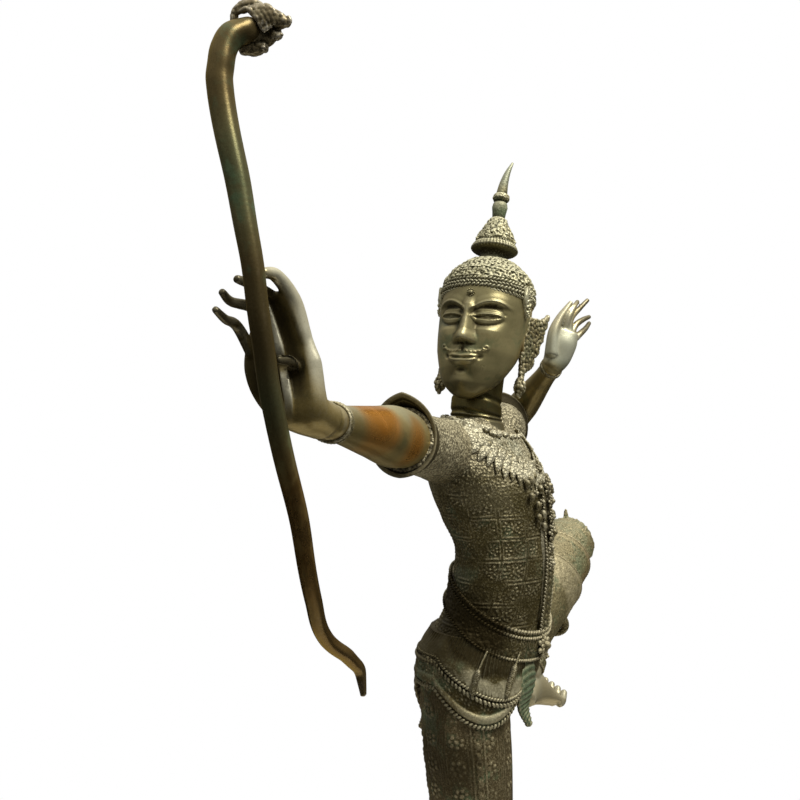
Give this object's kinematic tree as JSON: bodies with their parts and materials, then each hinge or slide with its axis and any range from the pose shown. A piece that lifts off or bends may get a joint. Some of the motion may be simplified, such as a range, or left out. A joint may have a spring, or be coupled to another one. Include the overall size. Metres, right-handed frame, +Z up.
{
  "type": "bronze figure of an archer dancer",
  "caption": "Cast bronze figure of a dancer as an archer, standing on one leg on a low round plinth with a long bow in its outstretched hand.",
  "frame": {"origin": "middle of the plinth's underside", "axes": "+Z up; the figure's chest faces -Y; its left side is +X and the bow is at -X"},
  "size_m": [0.694, 0.28, 0.9661],
  "materials": {
    "figure_bronze": "cast bronze with an olive-brown patina, tan dust on the raised parts, green verdigris and copper-coloured rubbed spots",
    "bow_bronze": "cast bronze, smooth, dark brown patina with olive patches and rubbed edges",
    "base_bronze": "cast bronze, dark olive-brown patina, plain"
  },
  "bodies": {
    "root": {"figure": "figure_bronze", "bow": "bow_bronze", "base": "base_bronze"}
  },
  "joints": []
}
